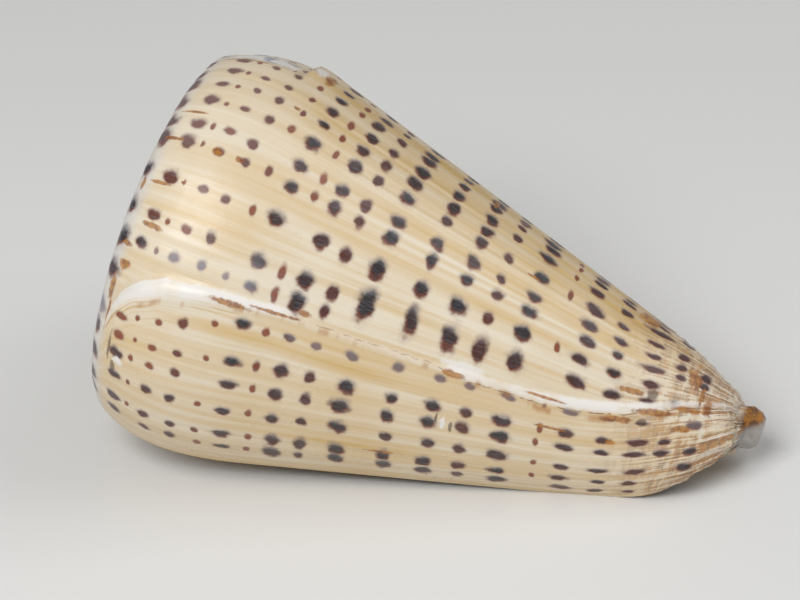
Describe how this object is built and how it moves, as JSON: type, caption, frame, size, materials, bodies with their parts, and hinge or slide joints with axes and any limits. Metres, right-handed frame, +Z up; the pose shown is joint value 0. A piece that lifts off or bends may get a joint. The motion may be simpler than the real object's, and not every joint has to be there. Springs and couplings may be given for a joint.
{
  "type": "cone shell",
  "caption": "Large cone-shaped sea snail's shell with a low spire, spotted cream surface and a healed scar, lying aperture down.",
  "frame": {"origin": "middle of the bounding box's underside, on the surface that the shell rests on", "axes": "+X along the shell towards its narrow tip, +Z up, the outer lip's side towards -Y"},
  "size_m": [0.1074, 0.0656, 0.0612],
  "materials": {
    "shell": "smooth glossy shell, cream with rows of blue-black and red-brown spots"
  },
  "bodies": {
    "root": {"shell": "shell"}
  },
  "joints": []
}
